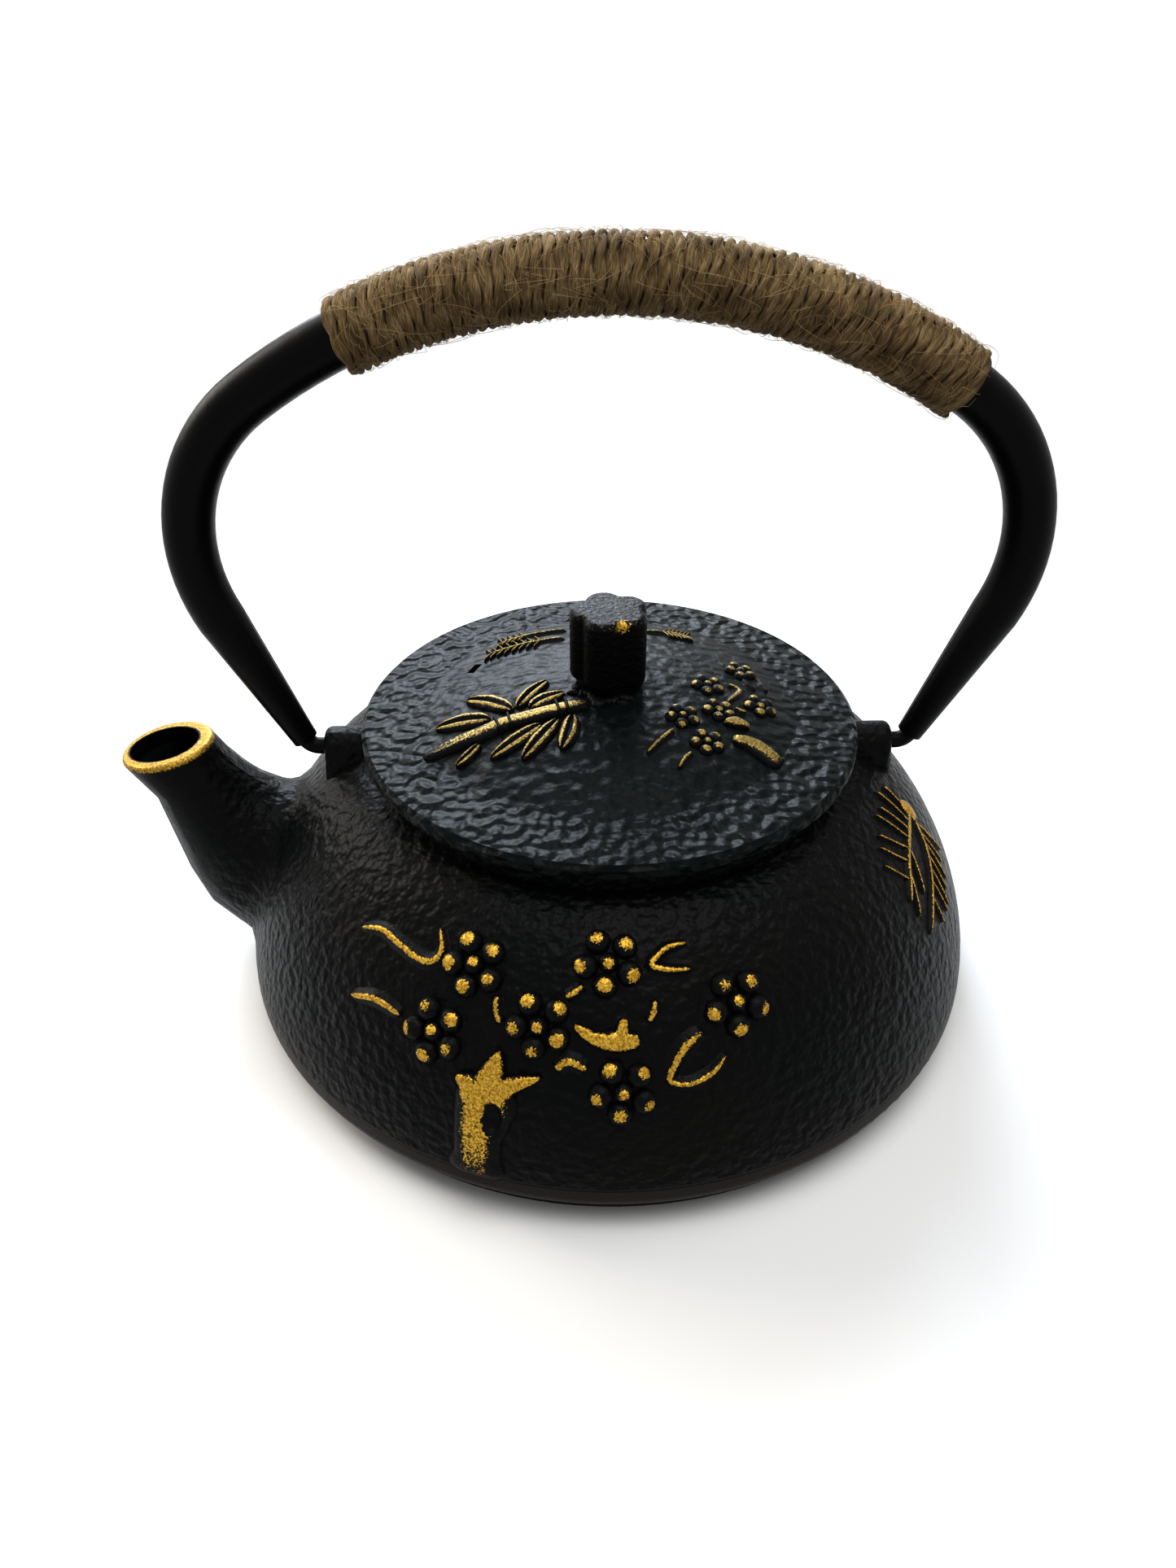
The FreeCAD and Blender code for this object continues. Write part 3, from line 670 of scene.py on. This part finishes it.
body_boughs = [
    ([(-6.9, 40.2), (-3.9, 38.5), (-0.8, 38.0), (2.7, 38.2)], [1.4, 3.0, 4.4, 3.4], 1.3, 0.0),
    ([(0.5, 41.2), (0.2, 39.8), (0.0, 38.2)], [1.6, 2.6, 3.6], 1.3, 0.0),
    ([(-22.7, 29.4), (-20.8, 28.2), (-19.6, 25.5)], [1.2, 5.0, 7.6], 1.5, 0.0),
    ([(-17.0, 34.9), (-17.6, 31.5), (-18.4, 27.0)], [0.8, 5.4, 9.0], 1.6, 0.0),
    ([(-10.9, 32.0), (-14.7, 30.0), (-17.1, 27.8), (-18.6, 25.0)], [1.0, 3.8, 6.4, 7.6], 1.5, 0.0),
    ([(-18.0, 29.0), (-18.3, 25.6), (-18.9, 20.0), (-18.9, 15.0), (-19.0, 10.8)],
     [11.0, 12.4, 10.0, 9.4, 14.0], 1.6, 1.4),
]
for route, widths, height, fade in body_boughs:
    ridge(plum, on_pot, route, widths, height, bark_section, fade, steps=10)
knot, knot_out = on_body(-16.9, 23.6)
knot_up = knot_out.cross(Vector((1, 0, 0))).normalized()
hollow(plum, knot, knot_out, knot_up, half_width=2.0 * mm, half_height=3.4 * mm, depth=1.6 * mm)
finish_relief("plum_relief", plum, "pot", relief_iron)

# %% [markdown]
# ## Pine on the body's right
# A pine bough is drawn as two curved stems from one hub, with straight needles fanning to both sides and
# two more between the stems. Ridges with two points make the needles, and one bead covers the joint at
# the hub.

# %% Pine bough
pine = ornament_mesh()
hub = (77.0, 45.2)
pine_stems = [([hub, (68.6, 44.4), (63.0, 42.8), (57.6, 39.1)], [4.6, 3.2, 2.8, 1.8]),
              ([hub, (72.2, 40.1), (67.5, 37.1), (63.3, 34.8), (58.8, 31.7)], [4.0, 2.8, 2.6, 2.2, 1.6])]
for route, widths in pine_stems:
    ridge(pine, on_pot, route, widths, 0.9, twig_section)
upper_roots = [(75.5, 44.7), (73.5, 44.6), (71.5, 44.6), (69.2, 44.4), (66.8, 43.9), (64.0, 43.2),
               (61.0, 41.6)]
upper_tips = [(77.6, 50.2), (73.8, 51.3), (69.7, 50.4), (66.5, 50.7), (62.1, 49.3), (59.6, 48.4),
              (57.3, 46.5)]
lower_roots = [(75.5, 43.4), (74.4, 42.2), (73.2, 41.0), (71.4, 39.6), (69.4, 38.2), (67.2, 37.0),
               (64.6, 35.4)]
lower_tips = [(78.8, 33.6), (75.6, 33.5), (73.8, 31.0), (71.3, 30.7), (69.3, 28.9), (67.9, 28.9),
              (64.7, 29.3)]
between = [((62.3, 42.5), (58.1, 36.0)), ((67.0, 43.9), (62.5, 37.3))]
for root, tip in list(zip(upper_roots, upper_tips)) + list(zip(lower_roots, lower_tips)) + between:
    ridge(pine, on_pot, [root, tip], [1.4, 1.0], 0.8, twig_section, steps=8)
hub_spot, hub_out = on_body(*hub)
bead(pine, hub_spot, hub_out, Vector((0, 0, 1)), 6.0 * mm, 4.4 * mm, 1.1 * mm, gold_from=0.5)
finish_relief("pine_relief", pine, "pot", relief_iron)

# %% [markdown]
# ## Bamboo on the lid
# The lid repeats the three plants smaller. To the left of the knob lies a bamboo culm, with two pairs of
# rings at its joints and eight leaves. The leaf is a ridge too, with a groove and five widths along its
# length, so that it swells and comes to a point.

# %% Bamboo
lid_art = ornament_mesh()
culm = [(-4.4, -9.0), (-11.1, -10.7), (-16.1, -11.9), (-21.9, -13.1), (-26.1, -14.7), (-30.8, -15.9),
        (-37.6, -18.4)]
ridge(lid_art, on_cover, culm, [3.4, 3.8, 4.0, 4.2, 4.4, 4.2, 3.0], 1.6, culm_section, 0.75, steps=8)
culm_rings = [((-23.4, -10.9), (-21.7, -15.8)), ((-20.7, -10.6), (-19.6, -15.0)),
              ((-11.2, -8.2), (-10.0, -12.8)), ((-9.3, -7.9), (-8.4, -12.3))]
for back, front in culm_rings:
    ridge(lid_art, on_cover, [back, front], [2.0, 2.0], 2.1, ring_section, steps=8)
bamboo_leaves = [
    ((-24.3, -10.5), (-29.8, -9.1), (-35.8, -9.5), 5.8),
    ((-19.7, -8.8), (-24.9, -4.2), (-29.9, -2.2), 5.2),
    ((-19.0, -8.3), (-16.3, -3.5), (-12.6, 0.2), 4.4),
    ((-16.4, -9.0), (-13.4, -6.4), (-9.1, -5.1), 4.8),
    ((-25.9, -17.7), (-28.3, -20.1), (-30.6, -22.6), 3.0),
    ((-13.8, -14.6), (-18.7, -18.0), (-23.9, -22.3), 4.6),
    ((-10.5, -13.5), (-14.4, -18.8), (-17.6, -23.9), 4.4),
    ((-7.7, -12.5), (-8.6, -17.6), (-10.0, -22.3), 4.6),
]
leaf_shares = (0.3, 0.85, 1.0, 0.75, 0.2)
for root, halfway, tip, leaf_width in bamboo_leaves:
    leaf_widths = [leaf_width * share for share in leaf_shares]
    ridge(lid_art, on_cover, [root, halfway, tip], leaf_widths, 1.3, leaf_section, steps=8)
print("bamboo with", len(bamboo_leaves), "leaves")

# %% [markdown]
# ## Plum on the lid
# To the right of the knob the plum comes back with smaller blossoms, two pieces of bough, thin twigs and
# two faint leaves without gold. The same bead and ridges serve, with other sizes.

# %% Plum on the lid
lid_blossoms = [(14.3, -12.2), (22.0, -8.7), (31.2, -4.4), (18.6, -19.2), (20.6, 0.2), (28.7, 9.3)]
for place in lid_blossoms:
    blossom(lid_art, on_cover, place, Vector((0, -1, 0)), ring_mm=2.35, petal_mm=2.8, height_mm=1.2)
lid_leaves = [[(28.6, 5.2), (29.8, 3.5), (31.1, 1.7)], [(32.1, 7.1), (33.0, 4.8), (33.7, 2.3)]]
for leaf in lid_leaves:
    ridge(lid_art, on_cover, leaf, [0.8, 2.8, 0.8], 0.8, ring_section)
lid_boughs = [([(23.7, -17.5), (26.8, -17.7), (29.7, -19.1), (33.0, -22.4)], [2.2, 4.2, 5.0, 4.4], 0.8),
              ([(22.5, -13.0), (25.1, -12.1), (27.8, -13.2)], [0.8, 3.8, 1.2], 0.3)]
for route, widths, fade in lid_boughs:
    ridge(lid_art, on_cover, route, widths, 1.3, bark_section, fade)
lid_twigs = [
    ([(24.9, 1.3), (26.4, 0.8), (27.2, -0.7), (25.6, -3.3), (24.0, -5.5)], [1.4, 2.6, 3.2, 2.4, 1.2]),
    ([(25.4, -7.5), (26.4, -7.9), (27.7, -8.2)], [1.2, 2.6, 1.0]),
    ([(12.2, -16.6), (9.4, -19.8), (6.5, -23.7)], [2.0, 2.4, 1.6]),
    ([(15.2, -22.7), (13.6, -24.6), (12.4, -27.1)], [2.0, 2.2, 1.6]),
]
for route, widths in lid_twigs:
    ridge(lid_art, on_cover, route, widths, 1.0, twig_section)
print("plum with", len(lid_blossoms), "blossoms on the lid")

# %% [markdown]
# ## Pine on the lid
# Behind the knob lie three stalks of pine, two on the left and one on the right, with short needles in
# pairs, again as ridges. Where the knob was joined, the casting is left lumpy: an arc of small beads in
# front of the knob, without gold and of random sizes, stands for that.

# %% Pine and the knob's joint
pine_stalks = [([(-26.5, 17.8), (-18.0, 20.6), (-9.0, 22.0)], 8),
               ([(-24.0, 24.2), (-17.2, 27.0), (-8.6, 28.2)], 5),
               ([(18.8, 25.4), (14.0, 26.4), (9.0, 26.4)], 7)]
needle_out = 1.5
needle_side = 3.5
for stalk, needles in pine_stalks:
    ridge(lid_art, on_cover, stalk, [1.2, 1.6, 1.6], 1.0, twig_section, 0.4)
    outward = math.copysign(needle_out, stalk[0][0])
    for point in smooth_route(stalk, 6)[1:needles + 1]:
        for side in (-1, 1):
            needle_tip = (point[0] + outward, point[1] + side * needle_side)
            ridge(lid_art, on_cover, [point, needle_tip], [1.0, 0.7], 1.0, twig_section, 0.3, steps=5)
no_gold = 1.6
for bearing in range(196, 300, 8):
    reach = chance.uniform(7.0, 9.2)
    place = (reach * math.cos(math.radians(bearing)), reach * math.sin(math.radians(bearing)))
    spot, normal = on_lid(*place)
    way = Vector((chance.uniform(-1, 1), chance.uniform(-1, 1), 0))
    bead(lid_art, spot, normal, way, chance.uniform(2, 4) * mm, chance.uniform(1.2, 2.2) * mm, 0.9 * mm,
         gold_from=no_gold)
finish_relief("lid_relief", lid_art, "lid", lid_relief_iron)

# %% [markdown]
# ## Path of the jute winding
# One soft twine is wound close round the bail's grip, which is an arc. Its path is a helix round that
# arc, worked out from the turns and the pitch, because a helix made by a modifier can't follow a bend so
# evenly. A slow wander keeps the turns from lying too neatly.

# %% Path of the twine
grip_arc = 114.5 * mm
grip_height = 148.4 * mm
grip_centre = Vector((0, 0, grip_height - grip_arc))
tube_radius = 4.85 * mm
twine_radius = 1.1 * mm
twine_pitch = 2.05 * mm
wander_mm = 0.35
wrap_from = -math.asin(47.0 * mm / grip_arc)
wrap_to = math.asin(63.0 * mm / grip_arc)
turns = int((wrap_to - wrap_from) * grip_arc / twine_pitch)
twine_length = turns * 2 * math.pi * (tube_radius + twine_radius)
wander = [(chance.uniform(0.3, 1.7), chance.uniform(0, 2 * math.pi)) for _ in range(5)]


def twine_place(share):
    """Centre of the twine, the ways out from the tube and along the grip, and a wander.

    Share is how far along the twine the place is, from 0 to 1."""
    around = 2 * math.pi * turns * share + math.pi
    unsteady = sum(math.sin(rate * around / 2 + start) for rate, start in wander) / len(wander)
    turn = wrap_from + (wrap_to - wrap_from) * share + unsteady * wander_mm * mm / grip_arc
    up = Vector((math.sin(turn), 0, math.cos(turn)))
    outward = up * math.cos(around) + Vector((0, 1, 0)) * math.sin(around)
    along = Vector((math.cos(turn), 0, -math.sin(turn)))
    return grip_centre + up * grip_arc + outward * (tube_radius + twine_radius), outward, along, unsteady


print("twine of", turns, "turns,", round(twine_length, 2), "m")

# %% [markdown]
# ## Two plies
# Jute twine is two plies twisted round each other. Each ply is a tube swept along the path: a ring of
# points at each step, a little oval, set off from the twine's middle by an angle that turns as it goes. A
# vertex attribute, fibre, counts round and along the ply for the jute's streaks. The winding takes the
# place of the solid strand, which has fewer turns, and the solid core stays beneath it.

# %% Jute winding
plies = 2
ply_radius = 0.7 * mm
ply_offset = 0.48 * mm
ply_twist = 11.0 * mm
steps_per_turn = 48
ring_points = 8
streak_length = 2.4 * mm
streaks_round = 3
streak_shift = 40
lay_flat = 0.45
press_out = 0.95
press_along = 1.08
swelling = 0.16
twine = bmesh.new()
fibre_layer = twine.verts.layers.float_vector.new("fibre")
for ply in range(plies):
    rings = []
    for step in range(turns * steps_per_turn + 1):
        share = step / (turns * steps_per_turn)
        spot, outward, along, unsteady = twine_place(share)
        lay = 2 * math.pi * (share * twine_length / ply_twist + ply / plies)
        centre = spot + (outward * math.cos(lay) * lay_flat + along * math.sin(lay)) * ply_offset
        ring = []
        for corner in range(ring_points):
            turn = 2 * math.pi * corner / ring_points
            reach = ply_radius * (1 + swelling * unsteady)
            way = outward * math.cos(turn) * press_out + along * math.sin(turn) * press_along
            vert = twine.verts.new(centre + way * reach)
            vert[fibre_layer] = (math.cos(turn) * streaks_round,
                                 math.sin(turn) * streaks_round + streak_shift * ply,
                                 share * twine_length / streak_length)
            ring.append(vert)
        rings.append(ring)
    for ring, following in zip(rings, rings[1:]):
        for a, b, c, d in zip(ring, ring[1:] + ring[:1], following[1:] + following[:1], following):
            twine.faces.new((a, b, c, d))
    twine.faces.new(rings[0][::-1])
    twine.faces.new(rings[-1])
bmesh.ops.recalc_face_normals(twine, faces=twine.faces)
twine_data = bpy.data.meshes.new("jute_winding")
twine.to_mesh(twine_data)
twine.free()
twine_data.shade_smooth()
twine_data.materials.append(twine_jute)
winding = bpy.data.objects.new("jute_winding", twine_data)
bpy.context.scene.collection.objects.link(winding)
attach(winding, "bail")
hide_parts("jute_strand")
print("jute_winding", turns, "turns", len(twine_data.polygons), "faces")

# %% [markdown]
# ## Stray fibres
# Stray fibres make jute look like jute. Short fuzz lies close along the turns, and longer hairs lie
# across them. A hair system would give more of them, but the export needs a plain mesh, so they are
# curves with a thin round section, turned into one mesh.

# %% Laying a hair
hairs = bpy.data.curves.new("jute_fibres", "CURVE")
hairs.dimensions = "3D"
hairs.bevel_depth = 0.04 * mm
hairs.bevel_resolution = 0
hair_taper = 0.6
hair_seat = 1.62


def add_hair(points):
    """One hair through points, thinner towards its end."""
    spline = hairs.splines.new("POLY")
    spline.points.add(len(points) - 1)
    for index, (target, spot) in enumerate(zip(spline.points, points)):
        target.co = (*spot, 1)
        target.radius = 1.0 - hair_taper * index / (len(points) - 1)


def lay_hair(swing, drift, bow, lift, count):
    """One hair over the winding, of a count of points.

    Swing turns it round the grip, drift and bow carry it along, and lift raises its middle."""
    share = chance.uniform(0.01, 0.99)
    around = chance.uniform(0, 2 * math.pi)
    points = []
    for step in range(count):
        t = step / (count - 1)
        along_share = min(max(share + drift * t + bow * math.sin(math.pi * t), 0), 1)
        turn = wrap_from + (wrap_to - wrap_from) * along_share
        angle = around + swing * t
        up = Vector((math.sin(turn), 0, math.cos(turn)))
        reach = tube_radius + hair_seat * twine_radius + lift * math.sin(math.pi * t ** 0.7)
        outward = up * math.cos(angle) + Vector((0, 1, 0)) * math.sin(angle)
        points.append(grip_centre + up * grip_arc + outward * reach)
    add_hair(points)


print("hairs", hairs.bevel_depth * 2, "m thick")

# %% Stray fibres
fuzz_count = 1100
long_count = 420
for _ in range(fuzz_count):
    lay_hair(chance.choice((-1, 1)) * chance.uniform(0.15, 0.5), chance.uniform(-0.012, 0.012),
             chance.uniform(-0.004, 0.004), chance.uniform(0.15, 0.6) * mm, 5)
for _ in range(long_count):
    lay_hair(chance.uniform(-1.1, 1.1), chance.uniform(-0.09, 0.09), chance.uniform(-0.03, 0.03),
             chance.uniform(0.1, 0.8) * mm, 9)
hair_holder = bpy.data.objects.new("jute_fibres", hairs)
bpy.context.scene.collection.objects.link(hair_holder)
shown_hairs = hair_holder.evaluated_get(bpy.context.evaluated_depsgraph_get())
fibre_data = bpy.data.meshes.new_from_object(shown_hairs)
bpy.data.objects.remove(hair_holder)
bpy.data.curves.remove(hairs)
fibre_data.name = "jute_fibres"
# The hairs take the paler copy of the jute, painted as a highlight.
fibre_data.materials.clear()
fibre_data.materials.append(painted_highlight_jute)
fibres = bpy.data.objects.new("jute_fibres", fibre_data)
bpy.context.scene.collection.objects.link(fibres)
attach(fibres, "bail")
print("jute_fibres", len(fibre_data.polygons), "faces")

# %% [markdown]
# ## Floor
# A pale sheet of paper carries the pot and takes its shadow. A large floor would show its edge, so this
# disc fades out to clear. Seen straight or mirrored it is nearly white, but light that bounces off it
# finds a mid grey, because a white sheet would light up the pot's black belly from below.

# %% Floor
floor_radius = 0.45
fade_from = 0.12
fade_to = 0.26
# Matt paper gives the eye an even white with one soft shadow.
floor_finish, floor_tree = new_finish("studio_floor")
floor_place = add(floor_tree, "TexCoord")
floor_reach = add(floor_tree, "VectorMath", {0: (floor_place, "Object")}, operation="LENGTH")
floor_fade = add(floor_tree, "MapRange", {"Value": (floor_reach, "Value"), "From Min": fade_from,
                                          "From Max": fade_to})
floor_rays = add(floor_tree, "LightPath")
bounced = add(floor_tree, "Mix", {0: (floor_rays, "Is Diffuse Ray"), 6: colour("#f6f6f5"),
                                  7: colour("#6e6e6d")}, data_type="RGBA")
paper = add(floor_tree, "BsdfDiffuse", {"Color": (bounced, 2)})
clear = add(floor_tree, "BsdfTransparent")
floor_mix = add(floor_tree, "MixShader", {0: (floor_fade, "Result"), 1: (paper, 0), 2: (clear, 0)})
add(floor_tree, "OutputMaterial", {"Surface": (floor_mix, 0)})
floor_mesh = bmesh.new()
bmesh.ops.create_circle(floor_mesh, cap_ends=True, segments=64, radius=floor_radius)
floor_data = bpy.data.meshes.new("floor")
floor_mesh.to_mesh(floor_data)
floor_mesh.free()
floor_data.materials.append(floor_finish)
floor = bpy.data.objects.new("floor", floor_data)
bpy.context.scene.collection.objects.link(floor)
print("floor fades from", fade_from, "to", fade_to, "m")

# %% [markdown]
# ## Surround
# The photographed pot stands before plain white. A white world gives that, but as the only light it would
# flatten the dark iron. So the world is full white to the camera, in mirror reflections and through clear
# things, and weak as a light on matt surfaces, where the lamps do the work.

# %% Surround
fill_light = 0.24
world = bpy.data.worlds.new("studio")
bpy.context.scene.world = world
world.use_nodes = True
world_tree = world.node_tree
world_tree.nodes.clear()
rays = add(world_tree, "LightPath")
seen = add(world_tree, "Math", {0: (rays, "Is Camera Ray"), 1: (rays, "Is Glossy Ray")},
           operation="MAXIMUM")
seen_through = add(world_tree, "Math", {0: (seen, 0), 1: (rays, "Is Transmission Ray")},
                   operation="MAXIMUM")
strength = add(world_tree, "Mix", {0: (seen_through, 0), 2: fill_light, 3: 1.0}, data_type="FLOAT")
sky = add(world_tree, "Background", {"Color": colour("#ffffff"), "Strength": (strength, 0)})
add(world_tree, "OutputWorld", {"Surface": (sky, 0)})
print("surround fills with", fill_light)

# %% [markdown]
# ## Lamps
# The gleam on the lid comes from a cool window behind the pot, and the left side has a weaker, warm one.
# Area lamps give such broad gleams and soft shadows, where a point lamp would leave hard dots. A ceiling
# lamp lifts the front just enough to show the ornament.


# %% Lamps
def soft_lamp(name, place, target, size, power, tint):
    """A square area lamp at a place, turned to a target; size in metres, power in watts."""
    lamp = bpy.data.lights.new(name, "AREA")
    lamp.energy = power
    lamp.size = size
    lamp.color = colour(tint)[:3]
    holder = bpy.data.objects.new(name, lamp)
    holder.location = place
    holder.rotation_euler = (Vector(target) - Vector(place)).to_track_quat("-Z", "Y").to_euler()
    bpy.context.scene.collection.objects.link(holder)
    print(name, power, "W")


middle = (0, 0, 0.05)
soft_lamp("window_behind", (-0.15, 0.75, 0.5), middle, size=0.55, power=14.5, tint="#e6f1ff")
soft_lamp("window_left", (-0.7, 0.4, 0.45), middle, size=0.45, power=6.0, tint="#fff6ea")
soft_lamp("ceiling", (0.1, -0.1, 0.9), middle, size=0.7, power=6.2, tint="#ffffff")

# %% [markdown]
# ## Camera
# The camera repeats the photographed view, from in front and above. Its place was solved from the
# ellipses of the lid and the foot, with the focal length of a phone's main camera. The Standard view
# keeps white paper white and the gold's colours as they were picked.

# %% Camera
image_height = 1927
focal_pixels = 1400
tilt_down = 36.0
turn_right = 1.1
camera = bpy.data.cameras.new("camera")
camera.sensor_fit = "VERTICAL"
camera.sensor_height = 36.0
camera.lens = camera.sensor_height * focal_pixels / image_height
camera.clip_start = 0.01
eye = bpy.data.objects.new("camera", camera)
eye.location = (-8.4 * mm, -204.9 * mm, 191.4 * mm)
eye.rotation_euler = (math.radians(90 - tilt_down), 0, math.radians(-turn_right))
bpy.context.scene.collection.objects.link(eye)
bpy.context.scene.camera = eye
bpy.context.scene.view_settings.view_transform = "Standard"
print("lens", camera.lens, "mm")
